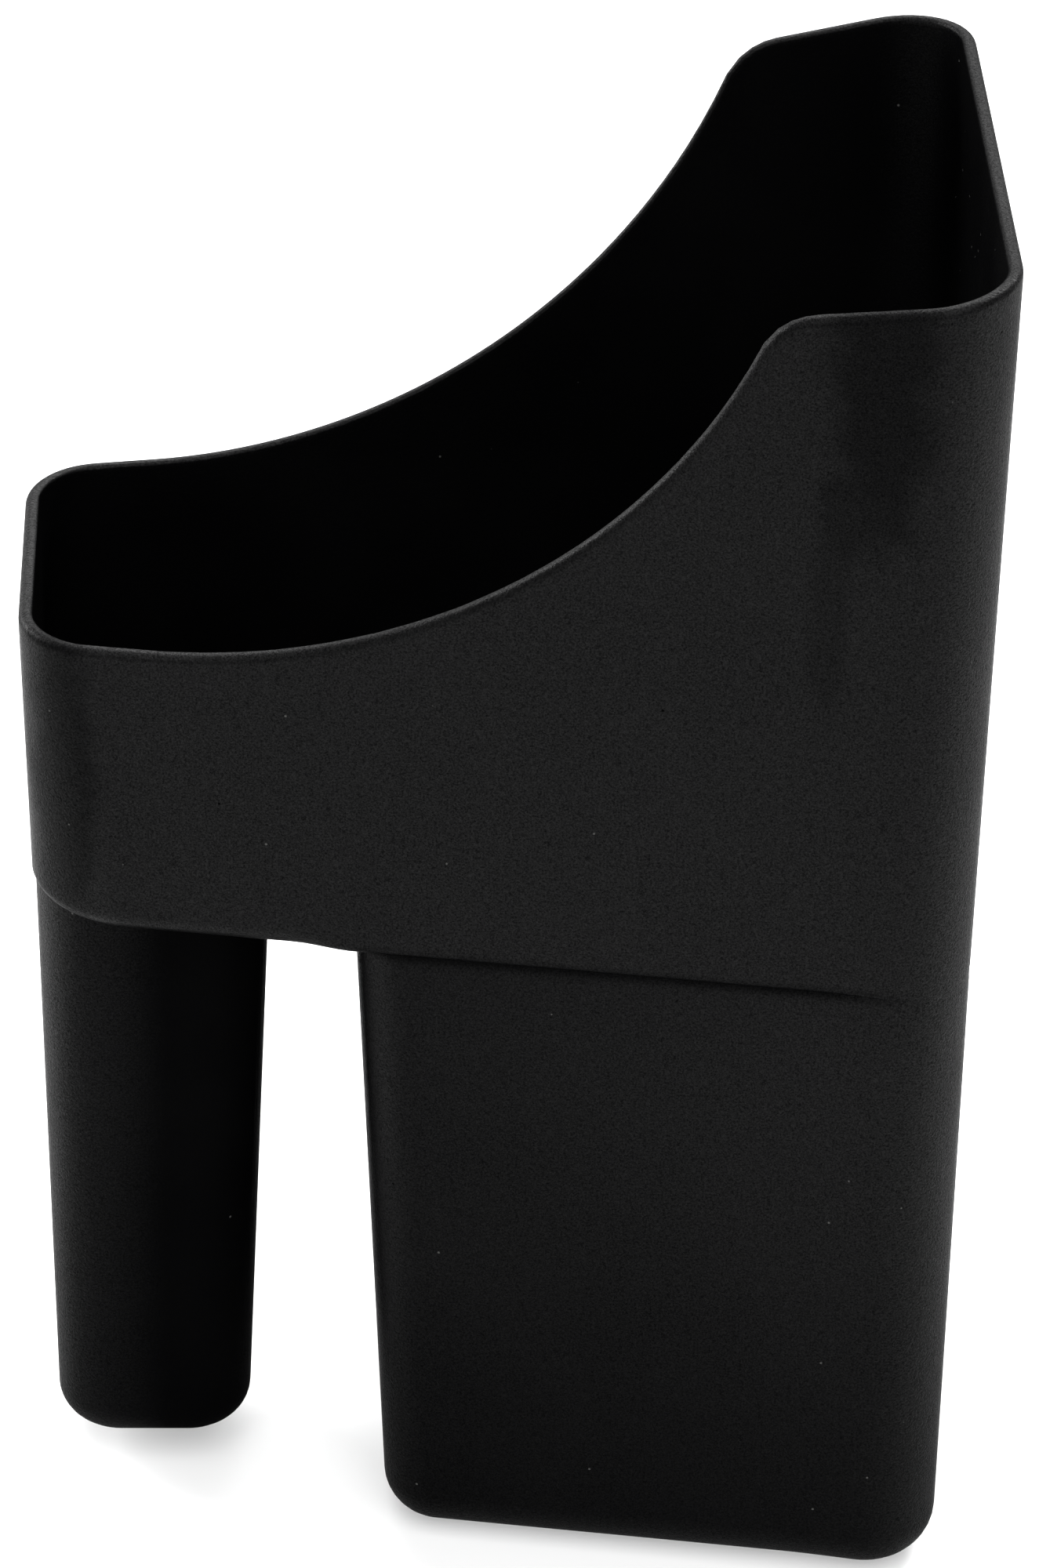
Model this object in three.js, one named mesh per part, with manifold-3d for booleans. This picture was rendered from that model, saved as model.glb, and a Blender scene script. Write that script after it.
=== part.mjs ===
// A two-pocket holster moulded in black plastic: an open-topped hopper with a wedge-shaped
// plan, a wide box-shaped pocket and a narrow tube-shaped pocket hanging from its floor.
// +X runs from the low narrow end to the tall wide end, +Y across the depth, +Z up.
// The origin is on the ground under the middle of the object.

import * as THREE from 'three';
import { mergeVertices } from 'three/addons/utils/BufferGeometryUtils.js';
import Module from 'manifold-3d';

const wasm = await Module();
wasm.setup();

// ---- Driving dimensions, in millimetres ----

const WALL = 3;                 // moulded wall, the same everywhere
const JOIN_Z = 150.3;           // the hopper's underside, where both pockets hang
const HALF_DEPTH = 53.9;        // half of the hopper's depth at x = 0, z = JOIN_Z
const WEDGE = 0.162;            // outward run of each side wall per millimetre of +X
const SIDE_DRAFT = 0.029;       // outward run of each side wall per millimetre of height

// The hopper's ends at JOIN_Z, and how far each end wall leans out per millimetre of height.
const HOPPER_LEFT = -97.4;
const HOPPER_RIGHT = 98;
const HOPPER_LEFT_DRAFT = 0.03;
const HOPPER_RIGHT_DRAFT = 0.009;
const HOPPER_CORNER = 17;       // radius of the upright corners
const HOPPER_EDGE = 1.2;        // radius of the edge round the underside

// The rim: level at the narrow end, a long concave sweep, a tight shoulder and a gentle slope.
const RIM_LOW = 218.2;
const SWEEP_X = -73;            // where the level stretch ends and the sweep starts
const SWEEP_RADIUS = 131;
const SHOULDER_RADIUS = 14;
const SLOPE_X = 60;             // a point on the sloping stretch, and its height
const SLOPE_Z = 307;
const SLOPE = 0.148;            // rise of that stretch per millimetre of +X

// The box pocket, set in a little under the hopper's side walls.
const BOX_STEP = 1;
const BOX_LEFT = -29.6;
const BOX_RIGHT = 98;
const BOX_LEFT_DRAFT = 0.0565;
const BOX_CORNER = 15;
const BOX_EDGE = 11;

// The tube pocket, an upright oblong with large corner radii.
const TUBE_LEFT = -97.2;
const TUBE_RIGHT = -47.3;
const TUBE_HALF_DEPTH = 24.5;
const TUBE_FLOOR = 6;           // height of its underside above the box pocket's
const TUBE_DRAFT = 0.0278;      // inward run of each end as it goes down
const TUBE_CORNER = 16;
const TUBE_EDGE = 9;

const MARGIN = 20;              // how far a cutting solid runs past what it cuts
const CORNER_STEPS = 5;         // curve divisions of an upright corner
const EDGE_STEPS = 6;           // divisions of a rounded bottom edge
const RIM_STEPS = 16;           // curve divisions of each rim arc

// Each tub is one open-topped body of the moulding, described at JOIN_Z.
const HOPPER = {
  left: HOPPER_LEFT,
  right: HOPPER_RIGHT,
  halfDepth: HALF_DEPTH,
  wedge: WEDGE,
  leftDraft: HOPPER_LEFT_DRAFT,
  rightDraft: HOPPER_RIGHT_DRAFT,
  floor: JOIN_Z,
  corner: HOPPER_CORNER,
  edge: HOPPER_EDGE,
};
const BOX = {
  left: BOX_LEFT,
  right: BOX_RIGHT,
  halfDepth: HALF_DEPTH - BOX_STEP,
  wedge: WEDGE,
  leftDraft: BOX_LEFT_DRAFT,
  rightDraft: 0,
  floor: 0,
  corner: BOX_CORNER,
  edge: BOX_EDGE,
};
const TUBE = {
  left: TUBE_LEFT,
  right: TUBE_RIGHT,
  halfDepth: TUBE_HALF_DEPTH,
  wedge: 0,
  leftDraft: TUBE_DRAFT,
  rightDraft: TUBE_DRAFT,
  floor: TUBE_FLOOR,
  corner: TUBE_CORNER,
  edge: TUBE_EDGE,
};

// ---- Helpers ----

function toSolid(geometry) {
  const bare = geometry.clone();
  bare.deleteAttribute('normal');
  bare.deleteAttribute('uv');
  const merged = mergeVertices(bare, 1e-4);
  return new wasm.Manifold(new wasm.Mesh({
    numProp: 3,
    vertProperties: Float32Array.from(merged.attributes.position.array),
    triVerts: Uint32Array.from(merged.index.array),
  }));
}

function toGeometry(solid) {
  const mesh = solid.getMesh();
  const geometry = new THREE.BufferGeometry();
  geometry.setAttribute('position', new THREE.BufferAttribute(mesh.vertProperties, 3));
  geometry.setIndex(new THREE.BufferAttribute(mesh.triVerts, 1));
  geometry.computeVertexNormals();
  return geometry;
}

// A counterclockwise convex outline whose corners are rounded to one radius.
function roundedOutline(corners, radius) {
  const shape = new THREE.Shape();
  corners.forEach((corner, i) => {
    const before = corners.at(i - 1);
    const after = corners[(i + 1) % corners.length];
    const arriving = corner.clone().sub(before).normalize();
    const leaving = after.clone().sub(corner).normalize();
    const turn = Math.atan2(arriving.cross(leaving), arriving.dot(leaving));
    const inward = new THREE.Vector2(-arriving.y, arriving.x);
    const centre = corner.clone()
      .addScaledVector(arriving, -radius * Math.tan(turn / 2))
      .addScaledVector(inward, radius);
    const start = Math.atan2(-inward.y, -inward.x);
    shape.absarc(centre.x, centre.y, radius, start, start + turn, false);
  });
  shape.closePath();
  return shape;
}

// The ends and the half depth of a tub at JOIN_Z, moved inwards by an inset.
function planOf(tub, inset) {
  return {
    left: tub.left + inset,
    right: tub.right - inset,
    halfAt: (x) => tub.halfDepth + tub.wedge * x - inset,
  };
}

// The body of a tub from its floor up to a given height or past it, drafted on all four sides.
// An inset of 0 gives the outside, and an inset of WALL gives the hollow.
function tubBody(tub, inset, topZ) {
  const { left, right, halfAt } = planOf(tub, inset);
  const outline = roundedOutline([
    new THREE.Vector2(left, -halfAt(left)),
    new THREE.Vector2(right, -halfAt(right)),
    new THREE.Vector2(right, halfAt(right)),
    new THREE.Vector2(left, halfAt(left)),
  ], tub.corner - inset);
  const edge = Math.max(tub.edge - inset, 0);
  const floorZ = tub.floor + inset;
  const geometry = new THREE.ExtrudeGeometry(outline, {
    depth: topZ - floorZ,
    bevelEnabled: edge > 0,
    bevelThickness: edge,
    bevelSize: edge,
    bevelOffset: -edge,
    bevelSegments: EDGE_STEPS,
    curveSegments: CORNER_STEPS,
  });
  geometry.translate(0, 0, floorZ + edge);
  const position = geometry.attributes.position;
  for (let i = 0; i < position.count; i += 1) {
    const rise = position.getZ(i) - JOIN_Z;
    const across = (position.getX(i) - left) / (right - left);
    const newLeft = left - tub.leftDraft * rise;
    const newRight = right + tub.rightDraft * rise;
    const x = newLeft + across * (newRight - newLeft);
    const spread = (halfAt(x) + SIDE_DRAFT * rise) / halfAt(position.getX(i));
    position.setXY(i, x, position.getY(i) * spread);
  }
  return toSolid(geometry);
}

// A block that fills everything above a height, used to cut a body off level.
function above(z) {
  const size = 2 * (HOPPER_RIGHT + HALF_DEPTH + MARGIN);
  const block = new THREE.BoxGeometry(size, size, size);
  block.translate(0, 0, z + size / 2);
  return toSolid(block);
}

// Everything above the rim line, as seen from the side and extruded across the depth.
function aboveRim() {
  const slopeAngle = Math.atan(SLOPE);
  const along = new THREE.Vector2(Math.cos(slopeAngle), Math.sin(slopeAngle));
  const down = new THREE.Vector2(Math.sin(slopeAngle), -Math.cos(slopeAngle));
  const sweep = new THREE.Vector2(SWEEP_X, RIM_LOW + SWEEP_RADIUS);

  // The shoulder's centre is under the sloping stretch and touches the sweep from outside.
  const base = new THREE.Vector2(SLOPE_X, SLOPE_Z).addScaledVector(down, SHOULDER_RADIUS);
  const offset = base.clone().sub(sweep);
  const b = offset.dot(along);
  const c = offset.lengthSq() - (SWEEP_RADIUS + SHOULDER_RADIUS) ** 2;
  const shoulder = base.clone().addScaledVector(along, -b + Math.sqrt(b * b - c));
  const meet = Math.atan2(shoulder.y - sweep.y, shoulder.x - sweep.x);

  const reach = HOPPER_RIGHT + MARGIN;
  const top = SLOPE_Z + reach;
  const region = new THREE.Shape();
  region.moveTo(-reach, RIM_LOW);
  region.lineTo(SWEEP_X, RIM_LOW);
  region.absarc(sweep.x, sweep.y, SWEEP_RADIUS, -Math.PI / 2, meet, false);
  region.absarc(
    shoulder.x, shoulder.y, SHOULDER_RADIUS, meet + Math.PI, Math.PI / 2 + slopeAngle, true,
  );
  region.lineTo(reach, SLOPE_Z + SLOPE * (reach - SLOPE_X));
  region.lineTo(reach, top);
  region.lineTo(-reach, top);
  region.closePath();

  const depth = 2 * (HALF_DEPTH + MARGIN) + MARGIN;
  const geometry = new THREE.ExtrudeGeometry(region, {
    depth,
    bevelEnabled: false,
    curveSegments: RIM_STEPS,
  });
  geometry.rotateX(Math.PI / 2);
  geometry.translate(0, depth / 2, 0);
  return toSolid(geometry);
}

// ---- The three bodies ----

function hopper() {
  const top = SLOPE_Z + MARGIN;
  const solid = tubBody(HOPPER, 0, top)
    .subtract(tubBody(HOPPER, WALL, top + MARGIN))
    .subtract(tubBody(BOX, WALL, JOIN_Z + MARGIN))
    .subtract(tubBody(TUBE, WALL, JOIN_Z + MARGIN))
    .subtract(aboveRim());
  return toGeometry(solid);
}

function pocket(tub) {
  const solid = tubBody(tub, 0, JOIN_Z + MARGIN)
    .subtract(tubBody(tub, WALL, JOIN_Z + 2 * MARGIN))
    .subtract(above(JOIN_Z));
  return toGeometry(solid);
}

function blackPlastic() {
  return new THREE.MeshStandardMaterial({ color: 0x1a1b1c, roughness: 0.55, metalness: 0 });
}

const holster = new THREE.Group();
[
  ['hopper', hopper()],
  ['box_pocket', pocket(BOX)],
  ['tube_pocket', pocket(TUBE)],
].forEach(([name, geometry]) => {
  const mesh = new THREE.Mesh(geometry, blackPlastic());
  mesh.name = name;
  holster.add(mesh);
});

export default holster;
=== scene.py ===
import math

import bmesh
import bpy
from mathutils import Matrix, Vector, noise


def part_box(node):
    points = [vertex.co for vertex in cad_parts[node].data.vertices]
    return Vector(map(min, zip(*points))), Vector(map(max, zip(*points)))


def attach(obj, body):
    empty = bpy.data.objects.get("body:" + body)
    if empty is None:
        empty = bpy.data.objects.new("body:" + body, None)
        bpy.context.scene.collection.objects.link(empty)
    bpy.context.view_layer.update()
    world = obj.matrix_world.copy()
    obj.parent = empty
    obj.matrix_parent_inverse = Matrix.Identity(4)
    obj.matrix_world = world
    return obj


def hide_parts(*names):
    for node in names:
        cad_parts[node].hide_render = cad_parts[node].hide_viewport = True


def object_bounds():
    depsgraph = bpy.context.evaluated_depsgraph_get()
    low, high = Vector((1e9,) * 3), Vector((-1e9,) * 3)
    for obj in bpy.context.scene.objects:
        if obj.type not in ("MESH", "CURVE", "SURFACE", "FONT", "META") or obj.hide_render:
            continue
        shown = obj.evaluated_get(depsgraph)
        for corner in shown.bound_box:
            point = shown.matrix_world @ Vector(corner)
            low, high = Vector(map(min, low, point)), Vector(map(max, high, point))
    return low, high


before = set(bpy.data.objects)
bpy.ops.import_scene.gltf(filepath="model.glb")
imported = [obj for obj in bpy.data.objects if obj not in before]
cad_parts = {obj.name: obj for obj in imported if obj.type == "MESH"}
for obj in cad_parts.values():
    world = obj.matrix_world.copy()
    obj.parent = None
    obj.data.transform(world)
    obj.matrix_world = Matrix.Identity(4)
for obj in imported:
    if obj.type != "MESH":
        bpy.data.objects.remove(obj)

CAD_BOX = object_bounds()
BODY = "root"

# ---- Dimensions in millimetres, as the solids have them ----

MM = 0.001
WALL = 3.0
JOIN_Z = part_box("hopper")[0][2] / MM     # underside of the hopper, where the pockets hang
TUBE_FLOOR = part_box("tube_pocket")[0][2] / MM
HALF_DEPTH = 53.9        # of the hopper, at JOIN_Z and x = 0
WEDGE = 0.162            # how fast it grows towards the tall end
SIDE_DRAFT = 0.029       # and upwards
BOX_STEP = 1.0           # how far the box pocket's side walls lie behind the hopper's

RIM_LOW = 218.2          # height of the rim's level part at the low end
SWEEP_X = -73.0          # where its upward sweep starts
SWEEP_RADIUS = 131.0
SHOULDER_RADIUS = 14.0
SLOPE_X = 60.0           # a point on its straight part above the shoulder
SLOPE_Z = 307.0
SLOPE = 0.148            # and how fast that part rises

LEDGE = 1.3              # least width of floor left between a hollow and the hopper's wall
HOPPER = {
    "left": -97.4, "right": 98.0, "half": HALF_DEPTH, "wedge": WEDGE,
    "left_draft": 0.03, "right_draft": 0.009, "corner": 17.0,
}
HOPPER_FOOT = dict(HOPPER, left_corner=24.0)      # rounder at the low end's foot than at its rim
BOX = {
    "left": -29.6, "right": 98.0, "half": HALF_DEPTH - BOX_STEP, "wedge": WEDGE,
    "left_draft": 0.0565, "right_draft": 0.0, "corner": 17.0, "left_corner": 12.5,
    "step": BOX_STEP,
}
TUBE = {
    "left": -97.2, "right": -47.3, "half": 24.5, "wedge": 0.0,
    "left_draft": 0.0278, "right_draft": 0.0278, "corner": 16.0,
}
BOX_HOLLOW = dict(BOX, right=BOX["right"] - LEDGE)
TUBE_HOLLOW = dict(TUBE, left=TUBE["left"] + LEDGE)

FREE_EDGE = 4.4          # radius round the hopper's underside, where nothing hangs under it
SEAM_EDGE = 1.8          # and over the box pocket
FREE_TO_SEAM = (-43.0, -30.5)      # between these places the one changes to the other
BOX_ROLL = 0.55          # how far the box pocket's top turns in under the hopper
ROLL_HEIGHT = 3.2
TALL_END_FLUSH = (64.0, 90.0)      # between these the box pocket's wall comes out to the hopper's
LOW_END_FLUSH = (8.0, 24.0)        # half widths between which the low end's foot gets its radius
LEAST_CORNER = 1.0       # corner radius left at a tub's largest inset
LEAST_EDGE = 0.05        # what is left of a radius or a gap that fades away
HOLLOW_EDGE = 0.5        # radius where the hopper's floor turns down into a pocket
MOUTH_GAP = 0.03         # how far a mouth in the hopper's floor stands back from the pocket's wall
BOX_EDGE = 11.0          # radius round the pockets' undersides
TUBE_EDGE = 9.0
RIM_OUTER = 1.8          # radii on the rim's outer and inner edges
RIM_INNER = 0.8
FLASH = 0.25             # how ragged the moulding's inner rim edge is
RAGGED_LENGTH = 2.3      # and how long its nicks are
RAGGED_START = Vector((0, 0, 7.7))       # and where in the noise they are taken
TUCK = 1.2               # how far a pocket's top runs up inside the hopper's floor

SWELL = 0.22             # the most that a moulded wall sinks
SWELL_WAVES = (          # length along, length up, share, and where in the noise it's taken
    (62.0, 85.0, 0.7, (0.0, 3.1, 0.0)),
    (27.0, 38.0, 0.3, (9.4, 0.0, 0.0)),
)
SWELL_FULL = 12.0        # distance from the middle plane where the sinking is in full

CORNER_STEPS = 14        # how finely curves and walls are cut
EDGE_STEPS = 6
RIM_STEPS = 8
FLOOR_STEPS = 10
SIDE_STEPS = 64
END_STEPS = 16
WALL_ROWS = 30
RIM_ROUNDS = 12          # of working out where the rim line cuts a drafted wall
FLAT_FACE_WEIGHT = 80    # per cent, for the shading of edges


# ---- The plan outline of a tub, and its draft ----

def smooth(value, low, high):
    """0 at low, 1 at high, and an easy curve between them."""
    t = min(1.0, max(0.0, (value - low) / (high - low)))
    return t * t * (3 - 2 * t)


def half_at(tub, inset, x):
    """Half the depth of a tub at a place along it."""
    return tub["half"] + tub["wedge"] * x - inset


def spaced(count):
    """The fractions between 0 and 1 that cut a length into equal steps."""
    return [i / count for i in range(1, count)]


def deepest(tub):
    """The largest inset that still leaves every corner of a tub rounded."""
    return min(tub["corner"], tub.get("left_corner", tub["corner"])) - LEAST_CORNER


def outline(tub, inset):
    """Points round a tub at JOIN_Z, counterclockwise from its near left corner.

    Each is (x, y, side), where side is -1 or 1 on the straight near and far walls
    and 0 on the corners and end walls.
    """
    left = tub["left"] + inset
    right = tub["right"] - inset
    low_end = tub.get("left_corner", tub["corner"]) - inset
    high_end = tub["corner"] - inset
    radii = (low_end, high_end, high_end, low_end)
    corners = [
        Vector((left, -half_at(tub, inset, left))), Vector((right, -half_at(tub, inset, right))),
        Vector((right, half_at(tub, inset, right))), Vector((left, half_at(tub, inset, left))),
    ]
    arcs = []
    for i, (corner, radius) in enumerate(zip(corners, radii)):
        arriving = (corner - corners[i - 1]).normalized()
        leaving = (corners[(i + 1) % 4] - corner).normalized()
        turn = math.atan2(arriving.x * leaving.y - arriving.y * leaving.x, arriving.dot(leaving))
        inward = Vector((-arriving.y, arriving.x))
        centre = corner - arriving * radius * math.tan(turn / 2) + inward * radius
        start = math.atan2(-inward.y, -inward.x)
        angles = [start + turn * k / CORNER_STEPS for k in range(CORNER_STEPS + 1)]
        arcs.append([centre + radius * Vector((math.cos(a), math.sin(a))) for a in angles])
    points = []
    for i, arc in enumerate(arcs):
        points += [(p.x, p.y, 0) for p in arc]
        side = (-1, 0, 1, 0)[i]
        steps = END_STEPS if side == 0 else SIDE_STEPS
        following = arcs[(i + 1) % 4][0]
        for f in spaced(steps):
            p = arc[-1].lerp(following, f)
            points.append((p.x, p.y, side))
    return points


def ends_at(tub, inset, z):
    """Where a tub's low and tall end walls are at a height."""
    rise = z - JOIN_Z
    left = tub["left"] + inset - tub["left_draft"] * rise
    right = tub["right"] - inset + tub["right_draft"] * rise
    return left, right


def drafted(tub, inset, x, y, z):
    """Where a point of the plan outline lies on the drafted wall at a height."""
    left, right = tub["left"] + inset, tub["right"] - inset
    low, high = ends_at(tub, inset, z)
    new_x = low + (x - left) / (right - left) * (high - low)
    half = half_at(tub, inset, new_x)
    flare = SIDE_DRAFT * (z - JOIN_Z) + tub.get("step", 0) * smooth(new_x, *TALL_END_FLUSH)
    return new_x, y * (half + flare) / half_at(tub, inset, x)


def undrafted_x(tub, inset, new_x, z):
    left, right = tub["left"] + inset, tub["right"] - inset
    low, high = ends_at(tub, inset, z)
    return left + (new_x - low) / (high - low) * (right - left)


# ---- The rim line, seen from the side ----

def rim_arcs():
    """Centres of the sweep and the shoulder, in the X-Z plane."""
    angle = math.atan(SLOPE)
    along = Vector((math.cos(angle), math.sin(angle)))
    down = Vector((math.sin(angle), -math.cos(angle)))
    sweep = Vector((SWEEP_X, RIM_LOW + SWEEP_RADIUS))
    base = Vector((SLOPE_X, SLOPE_Z)) + down * SHOULDER_RADIUS
    b = (base - sweep).dot(along)
    c = (base - sweep).length_squared - (SWEEP_RADIUS + SHOULDER_RADIUS) ** 2
    return sweep, base + along * (math.sqrt(b * b - c) - b)


SWEEP_CENTRE, SHOULDER_CENTRE = rim_arcs()
SWEEP_END = SWEEP_CENTRE + (SHOULDER_CENTRE - SWEEP_CENTRE).normalized() * SWEEP_RADIUS
SHOULDER_END_X = SHOULDER_CENTRE.x - SHOULDER_RADIUS * math.sin(math.atan(SLOPE))


def rim_at(x):
    """Height of the rim and its slope angle at a place along the holster."""
    if x <= SWEEP_X:
        return RIM_LOW, 0.0
    if x <= SWEEP_END.x:
        across = (x - SWEEP_X) / SWEEP_RADIUS
        return SWEEP_CENTRE.y - SWEEP_RADIUS * math.sqrt(1 - across ** 2), math.asin(across)
    if x <= SHOULDER_END_X:
        across = (SHOULDER_CENTRE.x - x) / SHOULDER_RADIUS
        return SHOULDER_CENTRE.y + SHOULDER_RADIUS * math.sqrt(1 - across ** 2), math.asin(across)
    return SLOPE_Z + SLOPE * (x - SLOPE_X), math.atan(SLOPE)


def below_rim(tub, inset, point, depth):
    """A plan point and height on the wall, a distance square below the rim line."""
    x, y, side = point
    z = RIM_LOW
    for _ in range(RIM_ROUNDS):
        rim_x = drafted(tub, inset, x, y, z)[0]
        z, slope = rim_at(rim_x)
    if side == 0:
        return x, y, z - depth
    target_x = rim_x + depth * math.sin(slope)
    target_z = z - depth * math.cos(slope)
    new_x = undrafted_x(tub, inset, target_x, target_z)
    return new_x, side * half_at(tub, inset, new_x), target_z


# ---- Building meshes from rings of points ----

def swell(x, y, z):
    """The slow unevenness of a large moulded wall, always inwards."""
    wave = 0
    for along, up, share, start in SWELL_WAVES:
        wave += share * noise.noise(Vector((x / along, y / along, z / up)) + Vector(start))
    return SWELL * (0.5 + 0.5 * wave)


def place(tub, inset, x, y, z):
    """The finished position, in metres, of a plan point at a height."""
    px, py = drafted(tub, inset, x, y, z)
    py -= math.copysign(swell(px, py, z), py) * min(1.0, abs(py) / SWELL_FULL)
    return Vector((px * MM, py * MM, z * MM))


def level_ring(tub, inset, z):
    return [place(tub, inset, x, y, z) for x, y, _ in outline(tub, inset)]


def rolled_ring(tub, low_z, radius_at, angle):
    """A ring on the rounding of a lower edge whose radius changes from point to point.

    The angle is 0 on the underside and 90 degrees where the wall starts.
    """
    widest = deepest(tub)
    ring = []
    for (x, y, _), (far_x, far_y, _) in zip(outline(tub, 0), outline(tub, widest)):
        radius = radius_at(x, y)
        z = low_z + radius * (1 - math.cos(angle))
        near = place(tub, 0, x, y, z)
        far = place(tub, widest, far_x, far_y, z)
        ring.append(near.lerp(far, radius * (1 - math.sin(angle)) / widest))
    return ring


def moved_ring(tub, z, inset):
    """A level ring of a pocket's wall, moved in by an amount that fades to the flush end."""
    widest = deepest(tub)
    ring = []
    for (x, y, _), (far_x, far_y, _) in zip(outline(tub, 0), outline(tub, widest)):
        near = place(tub, 0, x, y, z)
        far = place(tub, widest, far_x, far_y, z)
        ring.append(near.lerp(far, (inset * proud(x) + LEAST_EDGE) / widest))
    return ring


def proud(x):
    """1 where the hopper stands proud of the box pocket, 0 where they are flush."""
    return 1 - smooth(x, *TALL_END_FLUSH)


def hopper_edge_at(x, y):
    """The radius of the hopper's lower edge at a place."""
    radius = FREE_EDGE + (SEAM_EDGE - FREE_EDGE) * smooth(x, *FREE_TO_SEAM)
    return LEAST_EDGE + radius * proud(x) * smooth(abs(y), *LOW_END_FLUSH)


def add_rings(bm, rings):
    """Join rings of equal length with quads, and give the vertices back."""
    rows = [[bm.verts.new(p) for p in ring] for ring in rings]
    for lower, upper in zip(rows, rows[1:]):
        for i in range(len(lower)):
            j = (i + 1) % len(lower)
            bm.faces.new((lower[i], lower[j], upper[j], upper[i]))
    return rows


def mark_inside(bm, rows):
    """Tell the material which points are inside the holster, where painted shade lowers the gloss.
    """
    layer = bm.verts.layers.float["inside"]
    for row in rows:
        for vert in row:
            vert[layer] = 1.0


def ring_edges(bm, verts):
    return [bm.edges.get((v, verts[(i + 1) % len(verts)])) for i, v in enumerate(verts)]


def fill_flat(bm, loops):
    """Close a flat region bounded by rings, the first the outer one and the rest holes."""
    edges = []
    for loop in loops:
        edges += ring_edges(bm, loop)
    bmesh.ops.triangle_fill(bm, edges=edges, use_beauty=True)


def finished(name, bm, node, material):
    bmesh.ops.recalc_face_normals(bm, faces=bm.faces)
    mesh = bpy.data.meshes.new(name)
    bm.to_mesh(mesh)
    bm.free()
    for polygon in mesh.polygons:
        polygon.use_smooth = True
    piece = bpy.data.objects.new(name, mesh)
    bpy.context.scene.collection.objects.link(piece)
    piece.data.materials.append(material)
    weighted = piece.modifiers.new("Weighted normals", "WEIGHTED_NORMAL")
    weighted.weight = FLAT_FACE_WEIGHT
    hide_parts(node)
    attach(piece, BODY)
    return piece


def quarter(steps):
    """Angles from 0 to 90 degrees."""
    return [math.pi / 2 * k / steps for k in range(steps + 1)]


# ---- The three bodies ----

def wall_rings(inset, low_at, top_depth):
    """Rings of the hopper's wall, from a height given by place up to just below the rim."""
    base = outline(HOPPER_FOOT, inset)
    tops = [below_rim(HOPPER, inset, point, top_depth) for point in outline(HOPPER, inset)]
    rings = []
    for k in range(WALL_ROWS + 1):
        t = k / WALL_ROWS
        ring = []
        for (x, y, side), (top_x, top_y, top_z) in zip(base, tops):
            low_z = low_at(x, y)
            z = low_z + (top_z - low_z) * t
            new_x = x + (top_x - x) * t
            new_y = side * half_at(HOPPER, inset, new_x) if side else y + (top_y - y) * t
            ring.append(place(HOPPER, inset, new_x, new_y, z))
        rings.append(ring)
    return rings


def rim_ring(inset, depth, ragged=0.0):
    """A ring at a depth under the rim line, or up to a ragged amount deeper."""
    ring = []
    for point in outline(HOPPER, inset):
        nick = noise.noise(Vector((point[0], point[1], 0)) / RAGGED_LENGTH + RAGGED_START)
        x, y, z = below_rim(HOPPER, inset, point, depth + ragged * max(0.0, nick))
        ring.append(place(HOPPER, inset, x, y, z))
    return ring


def rim_rings():
    """Over the rim from the outer wall to the inner one, with both edges rounded."""
    outer = [rim_ring(RIM_OUTER * (1 - math.cos(a)), RIM_OUTER * (1 - math.sin(a)))
             for a in quarter(RIM_STEPS)]
    inner = [rim_ring(WALL - RIM_INNER * (1 - math.sin(a)), RIM_INNER * (1 - math.cos(a)),
                      FLASH * math.sin(2 * a)) for a in quarter(EDGE_STEPS)]
    return outer + inner


def hopper_piece(material):
    """The upper tub: foot, outer wall, rim, inner wall, and a floor with two mouths."""
    bm = bmesh.new()
    bm.verts.layers.float.new("inside")
    r = HOLLOW_EDGE
    floor_top = JOIN_Z + WALL
    rings = [rolled_ring(HOPPER_FOOT, JOIN_Z, hopper_edge_at, a) for a in quarter(EDGE_STEPS)[:-1]]
    rings += wall_rings(0, lambda x, y: JOIN_Z + hopper_edge_at(x, y), 2 * RIM_OUTER)
    rings += rim_rings()
    outside = len(rings)
    rings += reversed(wall_rings(WALL, lambda x, y: floor_top + r, 2 * RIM_INNER))
    rings += [level_ring(HOPPER_FOOT, WALL + r * (1 - math.cos(a)),
                         floor_top + r * (1 - math.sin(a)))
              for a in quarter(EDGE_STEPS)[1:]]
    rows = add_rings(bm, rings)
    mark_inside(bm, rows[outside:])
    mouths = []
    for hollow in (BOX_HOLLOW, TUBE_HOLLOW):
        hole = [level_ring(hollow, WALL - r * (1 - math.sin(a)) - MOUTH_GAP,
                           floor_top - r * (1 - math.cos(a))) for a in quarter(EDGE_STEPS)]
        hole.append(level_ring(hollow, WALL - MOUTH_GAP, JOIN_Z))
        mouths.append(add_rings(bm, hole))
        mark_inside(bm, mouths[-1])
    fill_flat(bm, [rows[-1]] + [mouth[0] for mouth in mouths])
    fill_flat(bm, [rows[0]] + [mouth[-1] for mouth in mouths])
    return finished("hopper_shell", bm, "hopper", material)


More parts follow.
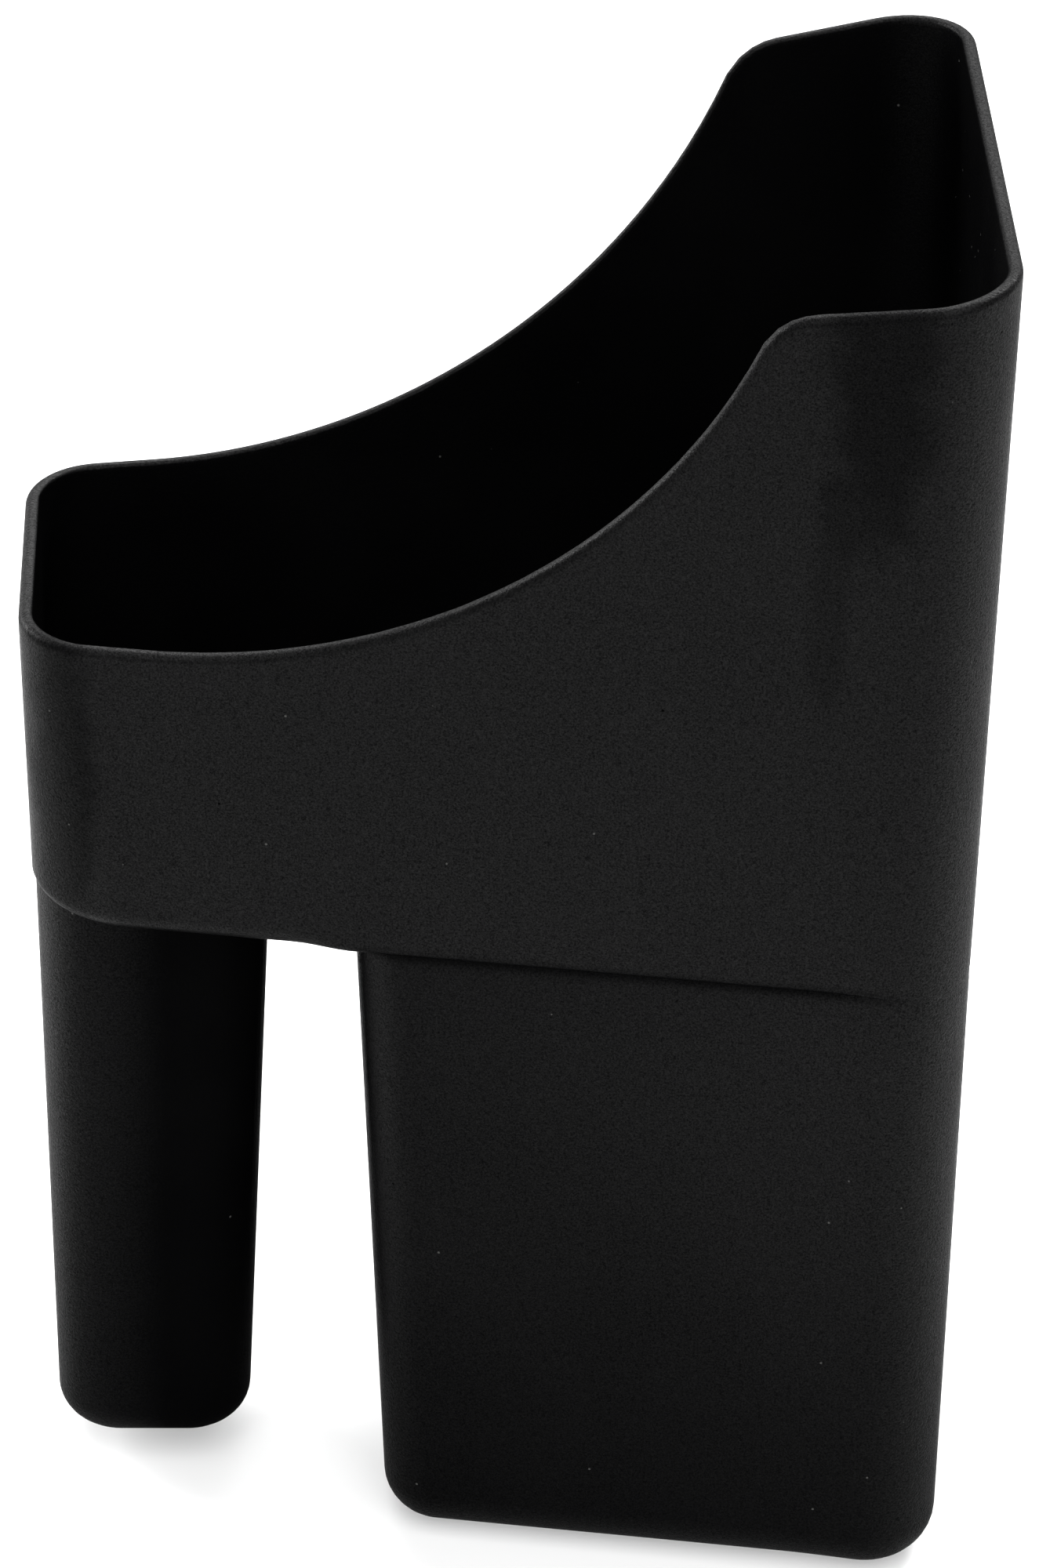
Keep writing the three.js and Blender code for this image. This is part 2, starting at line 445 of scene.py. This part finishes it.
def pocket_piece(name, node, tub, hollow, floor_z, edge, material):
    """A closed pocket: underside, outer wall, turned-in top, inner wall and inner floor."""
    bm = bmesh.new()
    bm.verts.layers.float.new("inside")
    top = JOIN_Z + TUCK
    inner_edge = edge - WALL
    low = floor_z + edge
    shoulder = JOIN_Z - ROLL_HEIGHT
    rings = [level_ring(tub, edge * (1 - math.sin(a)), floor_z + edge * (1 - math.cos(a)))
             for a in quarter(FLOOR_STEPS)]
    rings += [level_ring(tub, 0, low + (shoulder - low) * k / WALL_ROWS)
              for k in range(1, WALL_ROWS + 1)]
    roll = BOX_ROLL if tub.get("step") else 0.0
    for k in range(1, EDGE_STEPS + 1):
        t = k / EDGE_STEPS
        rings.append(moved_ring(tub, shoulder + ROLL_HEIGHT * t, roll * t * t))
    rings.append(moved_ring(tub, top, roll))
    outside = len(rings)
    rings += [level_ring(hollow, WALL, top - (top - low) * k / WALL_ROWS)
              for k in range(WALL_ROWS + 1)]
    rings += [level_ring(hollow, WALL + inner_edge * (1 - math.cos(a)),
                         floor_z + WALL + inner_edge * (1 - math.sin(a)))
              for a in quarter(FLOOR_STEPS)[1:]]
    rows = add_rings(bm, rings)
    mark_inside(bm, rows[outside:])
    fill_flat(bm, [rows[0]])
    fill_flat(bm, [rows[-1]])
    return finished(name, bm, node, material)


# ---- Node trees ----

class Nodes:
    """The node tree of a material or a world, with short ways to add to it."""

    def __init__(self, owner):
        owner.use_nodes = True
        self.nodes = owner.node_tree.nodes
        self.links = owner.node_tree.links

    def add(self, kind):
        return self.nodes.new("ShaderNode" + kind)

    def feed(self, socket, value):
        """Link a value to a socket, or set the socket where the value is given in numbers."""
        if isinstance(value, (int, float, tuple)):
            socket.default_value = value
        else:
            self.links.new(value, socket)

    def coords(self, kind):
        return self.add("TexCoord").outputs[kind]

    def axes(self, vector):
        node = self.add("SeparateXYZ")
        self.feed(node.inputs["Vector"], vector)
        return node.outputs

    def maths(self, operation, *values):
        node = self.add("Math")
        node.operation = operation
        for socket, value in zip(node.inputs, values):
            self.feed(socket, value)
        return node.outputs["Value"]

    def vector_maths(self, operation, *values):
        node = self.add("VectorMath")
        node.operation = operation
        for socket, value in zip(node.inputs, values):
            self.feed(socket, value)
        return node.outputs["Value" if operation == "LENGTH" else "Vector"]

    def remap(self, value, ends, results, interpolation="LINEAR"):
        """The first result at the first end, the second at the second, held beyond them."""
        node = self.add("MapRange")
        node.interpolation_type = interpolation
        keys = ("From Min", "From Max", "To Min", "To Max")
        for key, number in zip(keys, (*ends, *results)):
            node.inputs[key].default_value = number
        self.feed(node.inputs["Value"], value)
        return node.outputs["Result"]

    def eased(self, value, ends, results):
        return self.remap(value, ends, results, "SMOOTHSTEP")

    def noise(self, coords, scale, detail, roughness):
        node = self.add("TexNoise")
        for key, value in (("Scale", scale), ("Detail", detail), ("Roughness", roughness)):
            node.inputs[key].default_value = value
        self.feed(node.inputs["Vector"], coords)
        return node.outputs["Fac"]

    def specks(self, coords, scale, share, radius):
        """Spots at the middles of a share of the cells of a fine mesh through space."""
        cells = self.add("TexVoronoi")
        cells.inputs["Scale"].default_value = scale
        self.feed(cells.inputs["Vector"], coords)
        pick = self.add("SeparateColor")
        self.feed(pick.inputs["Color"], cells.outputs["Color"])
        chosen = self.maths("GREATER_THAN", pick.outputs["Red"], 1 - share)
        spot = self.remap(cells.outputs["Distance"], (radius * SPECK_CORE, radius), (1, 0))
        return self.maths("MULTIPLY", chosen, spot)

    def mixed(self, factor, first, second):
        node = self.add("Mix")
        node.data_type = "RGBA"
        for key, value in (("Factor", factor), ("A", first), ("B", second)):
            self.feed(node.inputs[key], value)
        return node.outputs["Result"]


# ---- The moulded plastic ----

NOISE_ENDS = (0.3, 0.7)              # where most of a noise texture's values lie
CLOUD = (26, 3, 0.5)                 # noise: scale per metre, detail, roughness
GRAIN = (1500, 4, 0.65)
FINE_GRAIN = (2500, 2, 0.6)
UNEVEN = (90, 3, 0.6)
DUST = (270, 0.05, 0.085)            # specks: scale per metre, share of the cells, radius in cells
PITS = (190, 0.035, 0.075)
SPECK_CORE = 0.6                     # share of a speck's radius before it fades

DARK = (0.0008, 0.0008, 0.0009, 1)
LESS_DARK = (0.0015, 0.0015, 0.0016, 1)
DUSTY = (0.045, 0.045, 0.043, 1)

CLOUD_ROUGHNESS = (0.33, 0.40)
GRAIN_ROUGHNESS = (-0.04, 0.06)      # what the grain adds to it

FACING_ENDS = (0.30, 0.75)           # from nearly square on to nearly edge on
FACING_GLOSS = (0.071, 0.0155)
GRAIN_GLOSS = (0.25, 1.75)           # factor

# Painted shade patches on the hopper, darker reflections painted as lower gloss: middle, half sizes,
# and how much of the gloss is left.
SHADE_PATCHES = (
    ((0.072, -0.067, 0.297), (0.0125, 0.03, 0.050), 0.46),       # under the tall end's rim
    ((0.0635, -0.064, 0.244), (0.0048, 0.03, 0.032), 0.76),      # a streak running down from it
    ((-0.0905, -0.033, 0.185), (0.0080, 0.03, 0.075), 0.42),     # down the low end's near corner
)
SHADE_PATCH_ENDS = (0.45, 1.15)           # in half sizes from the middle
SHADE_PATCH_UNEVEN = (-0.2, 0.2)

# Painted light and shade on each body, as gloss that changes along an axis: axis, from and to in
# metres, and the factors there.
# Painted shade: a darker strip just inside the tall end's edge.
TALL_END_SHADE = ("X", (0.0915, 0.0965), (1.0, 0.70))
HOPPER_PAINTED_SHADE = (TALL_END_SHADE,)
BOX_PAINTED_LIGHT = (
    ("Z", (0.0, 0.14), (0.38, 0.90)),            # painted shade, darker towards the underside
    ("X", (-0.03, 0.09), (0.72, 1.09)),          # and painted shade, darker towards the low end
    ("X", (-0.0298, -0.0262), (2.0, 1.0)),       # but a painted highlight along the left edge
    TALL_END_SHADE,
)
TUBE_PAINTED_SHADE = (
    # painted shade, darker towards the underside
    ("Z", (0.0, 0.14), (0.60, 1.0)),
    ("X", (-0.096, -0.088), (1.0, 0.5)),         # painted shade, leaving the left edge brightest
    ("X", (-0.084, -0.068), (1.0, 0.06)),        # and painted shade, nearly black on the right towards the box pocket
)
INSIDE_PAINTED_SHADE = 0.35                  # factor of painted shade inside the holster

SEAM_SHADE_Z = JOIN_Z * MM + 0.0002       # painted shade along the step over the box pocket
SEAM_SHADE_REACH = (0.0002, 0.0026)       # up and down from there
SEAM_SHADE_STARTS = (-0.033, -0.028)
SEAM_SHADE_ENDS = (0.066, 0.088)
SEAM_SHADE = 0.70                         # how much of the gloss the painted shade takes

BUMP_STRENGTH = 0.35
BUMP_DISTANCE = 0.0004
FINE_HEIGHT = 0.5                    # against the grain's
PIT_DEPTH = 0.6


# Painted shade: darkens each patch by lowering the gloss there, with a noisy edge.
def shade_patched(tree, gloss, coords, shade_patches):
    uneven = tree.remap(tree.noise(coords, *UNEVEN), NOISE_ENDS, SHADE_PATCH_UNEVEN)
    for middle, half_sizes, left_over in shade_patches:
        away = tree.vector_maths("SUBTRACT", coords, middle)
        away = tree.vector_maths("LENGTH", tree.vector_maths("DIVIDE", away, half_sizes))
        away = tree.maths("ADD", away, uneven)
        gloss = tree.maths("MULTIPLY", gloss, tree.eased(away, SHADE_PATCH_ENDS, (left_over, 1.0)))
    return gloss


# Painted shade: a soft dark band of lower gloss along the step over the box pocket.
def seam_shaded(tree, gloss, place_m):
    away = tree.maths("ABSOLUTE", tree.maths("SUBTRACT", place_m["Z"], SEAM_SHADE_Z))
    seam_shade_mask = tree.eased(away, SEAM_SHADE_REACH, (SEAM_SHADE, 0.0))
    seam_shade_mask = tree.maths("MULTIPLY", seam_shade_mask, tree.eased(place_m["X"], SEAM_SHADE_STARTS, (0, 1)))
    seam_shade_mask = tree.maths("MULTIPLY", seam_shade_mask, tree.eased(place_m["X"], SEAM_SHADE_ENDS, (1, 0)))
    return tree.maths("MULTIPLY", gloss, tree.maths("SUBTRACT", 1.0, seam_shade_mask))


def plastic_gloss(tree, coords, fine, pits, painted_fades, shade_patches):
    """Gloss fades where the surface is seen edge on, and the grain and pits break it up; painted
    light and shade lower or raise it in patches, along axes, inside and at the step.
    """
    facing = tree.add("LayerWeight").outputs["Facing"]
    gloss = tree.remap(facing, FACING_ENDS, FACING_GLOSS)
    gloss = tree.maths("MULTIPLY", gloss, tree.remap(fine, NOISE_ENDS, GRAIN_GLOSS))
    if shade_patches:
        gloss = shade_patched(tree, gloss, coords, shade_patches)
    gloss = tree.maths("MULTIPLY", gloss, tree.maths("SUBTRACT", 1.0, pits))
    place_m = tree.axes(coords)
    for axis, ends, factors in painted_fades:
        gloss = tree.maths("MULTIPLY", gloss, tree.eased(place_m[axis], ends, factors))
    # Painted shade: the gloss is lowered on every point marked as inside.
    within = tree.add("Attribute")
    within.attribute_name = "inside"
    inside_shade = tree.remap(within.outputs["Fac"], (0, 1), (1.0, INSIDE_PAINTED_SHADE))
    gloss = tree.maths("MULTIPLY", gloss, inside_shade)
    return seam_shaded(tree, gloss, place_m)


def plastic_bump(tree, grain, fine, pits):
    height = tree.maths("ADD", grain, tree.maths("MULTIPLY", fine, FINE_HEIGHT))
    height = tree.maths("SUBTRACT", height, tree.maths("MULTIPLY", pits, PIT_DEPTH))
    bump = tree.add("Bump")
    for key, value in (("Strength", BUMP_STRENGTH), ("Distance", BUMP_DISTANCE), ("Height", height)):
        tree.feed(bump.inputs[key], value)
    return bump.outputs["Normal"]


def black_plastic(name, painted_fades, shade_patches=()):
    """Satin black moulded plastic: fine grain, faint clouding, dust, pits, and painted light and
    shade in its gloss.
    """
    material = bpy.data.materials.new(name)
    tree = Nodes(material)
    coords = tree.coords("Object")
    cloud = tree.noise(coords, *CLOUD)
    grain = tree.noise(coords, *GRAIN)
    fine = tree.noise(coords, *FINE_GRAIN)
    dust = tree.specks(coords, *DUST)
    pits = tree.specks(coords, *PITS)

    colour = tree.mixed(tree.remap(cloud, NOISE_ENDS, (0, 1)), DARK, LESS_DARK)
    rough = tree.maths("ADD", tree.remap(cloud, NOISE_ENDS, CLOUD_ROUGHNESS),
                       tree.remap(grain, NOISE_ENDS, GRAIN_ROUGHNESS))
    values = {
        "Base Color": tree.mixed(dust, colour, DUSTY),
        "Roughness": rough,
        "Specular IOR Level": plastic_gloss(tree, coords, fine, pits, painted_fades, shade_patches),
        "Normal": plastic_bump(tree, grain, fine, pits),
    }
    for key, value in values.items():
        tree.feed(tree.nodes["Principled BSDF"].inputs[key], value)
    return material


# ---- Floor, lights and camera ----

FLOOR_RADIUS = 6.0        # metres
FLOOR_SEGMENTS = 96
FLOOR_GAP = 0.0002        # so that the floor and the underside don't share a plane
FLOOR_LOOK = {
    "Base Color": (0.60, 0.60, 0.60, 1), "Roughness": 0.9, "Specular IOR Level": 0.1,
    "Emission Color": (1.0, 1.0, 1.0, 1), "Emission Strength": 0.35,
}


def pale_material():
    material = bpy.data.materials.new("pale_backdrop")
    tree = Nodes(material)
    for key, value in FLOOR_LOOK.items():
        tree.feed(tree.nodes["Principled BSDF"].inputs[key], value)
    return material


def floor_piece():
    """A wide round pale floor that the holster stands on."""
    bm = bmesh.new()
    bmesh.ops.create_circle(bm, cap_ends=True, radius=FLOOR_RADIUS, segments=FLOOR_SEGMENTS)
    mesh = bpy.data.meshes.new("floor")
    bm.to_mesh(mesh)
    bm.free()
    floor = bpy.data.objects.new("floor", mesh)
    bpy.context.scene.collection.objects.link(floor)
    floor.location.z = CAD_BOX[0][2] - FLOOR_GAP
    mesh.materials.append(pale_material())


# How bright the surroundings are. X, Y and Z are those of the direction, from -1 to 1.
HORIZON_TO_OVERHEAD = ((0.05, 0.55), (0.50, 0.62))     # by Z
CAMERA_SIDE = ((-0.6, 0.1), (0.22, 0.0))               # added, by Y
FAR_SIDE = ((0.2, 0.85), (0.0, 1.20))                  # added, by Y
ARCH_ACROSS = ((0.15, 0.6), (3.0, 0.0))                # a strip over the holster, front to back
ARCH_RISE = ((0.25, 0.6), (0.0, 1.0))


def world_light():
    """A soft white dome with a brighter far side and a bright strip overhead."""
    world = bpy.data.worlds.new("studio")
    tree = Nodes(world)
    direction = tree.axes(tree.coords("Generated"))
    across = tree.maths("ABSOLUTE", direction["X"])
    arch = tree.maths("MULTIPLY", tree.eased(across, *ARCH_ACROSS),
                      tree.eased(direction["Z"], *ARCH_RISE))
    total = tree.maths("ADD", arch, tree.eased(direction["Z"], *HORIZON_TO_OVERHEAD))
    for side in (CAMERA_SIDE, FAR_SIDE):
        total = tree.maths("ADD", total, tree.eased(direction["Y"], *side))
    background = tree.nodes["Background"]
    tree.feed(background.inputs["Color"], (1.0, 1.0, 1.0, 1.0))
    tree.feed(background.inputs["Strength"], total)
    bpy.context.scene.world = world


# Soft panels: name, place and aim in metres, size in metres, watts, and spread in degrees.
PANELS = (
    ("back_panel", (0.1, 2.2, 1.45), (0.0, 0.0, 0.2), (2.0, 0.8), 4.0, 90),
    ("key", (0.9, 1.0, 1.25), (0.0, 0.05, 0.0), (0.5, 0.5), 5.0, 80),
    ("left_kicker", (-1.1, 0.75, 0.6), (-0.05, 0.0, 0.0), (0.5, 0.5), 2.4, 60),
)


def panel(name, place_m, target_m, size, power, spread):
    """A soft panel; a spread under 180 degrees is a honeycomb grid over it."""
    data = bpy.data.lights.new(name, "AREA")
    data.shape = "RECTANGLE"
    data.size, data.size_y = size
    data.energy = power
    data.spread = math.radians(spread)
    light = bpy.data.objects.new(name, data)
    light.location = place_m
    aim = Vector(target_m) - Vector(place_m)
    light.rotation_euler = aim.to_track_quat("-Z", "Y").to_euler()
    bpy.context.scene.collection.objects.link(light)


def studio():
    world_light()
    for settings in PANELS:
        panel(*settings)
    bpy.context.scene.view_settings.view_transform = "Standard"


CAMERA_PITCH = 30.0       # degrees looking down
CAMERA_YAW = -2.481       # degrees from +Y
CAMERA_ROLL = 1.486
CAMERA_DISTANCE = 1.5     # metres from the aim point
CAMERA_AIM = (0.00552, 0.0, 0.1631)
CAMERA_REACH = 50.0
SENSOR_WIDTH = 36.0       # millimetres
CAMERA_LENS = 244.5


def camera():
    pitch, yaw, roll = (math.radians(a) for a in (CAMERA_PITCH, CAMERA_YAW, CAMERA_ROLL))
    forward = Vector((
        -math.sin(yaw) * math.cos(pitch), math.cos(yaw) * math.cos(pitch), -math.sin(pitch)))
    right = Vector((math.cos(yaw), math.sin(yaw), 0))
    up = right.cross(forward)
    turned_right = right * math.cos(roll) + up * math.sin(roll)
    turned_up = up * math.cos(roll) - right * math.sin(roll)
    data = bpy.data.cameras.new("camera")
    data.sensor_fit = "HORIZONTAL"
    data.sensor_width = SENSOR_WIDTH
    data.lens = CAMERA_LENS
    data.clip_end = CAMERA_REACH
    holder = bpy.data.objects.new("camera", data)
    place_m = Vector(CAMERA_AIM) - forward * CAMERA_DISTANCE
    turn = Matrix((turned_right, turned_up, -forward)).transposed().to_4x4()
    holder.matrix_world = Matrix.Translation(place_m) @ turn
    bpy.context.scene.collection.objects.link(holder)
    bpy.context.scene.camera = holder


camera()
hopper_piece(black_plastic("hopper_plastic", HOPPER_PAINTED_SHADE, SHADE_PATCHES))
pocket_piece("box_pocket_shell", "box_pocket", BOX, BOX_HOLLOW, 0.0, BOX_EDGE,
             black_plastic("box_plastic", BOX_PAINTED_LIGHT))
pocket_piece("tube_pocket_shell", "tube_pocket", TUBE, TUBE_HOLLOW, TUBE_FLOOR, TUBE_EDGE,
             black_plastic("tube_plastic", TUBE_PAINTED_SHADE))
floor_piece()
studio()
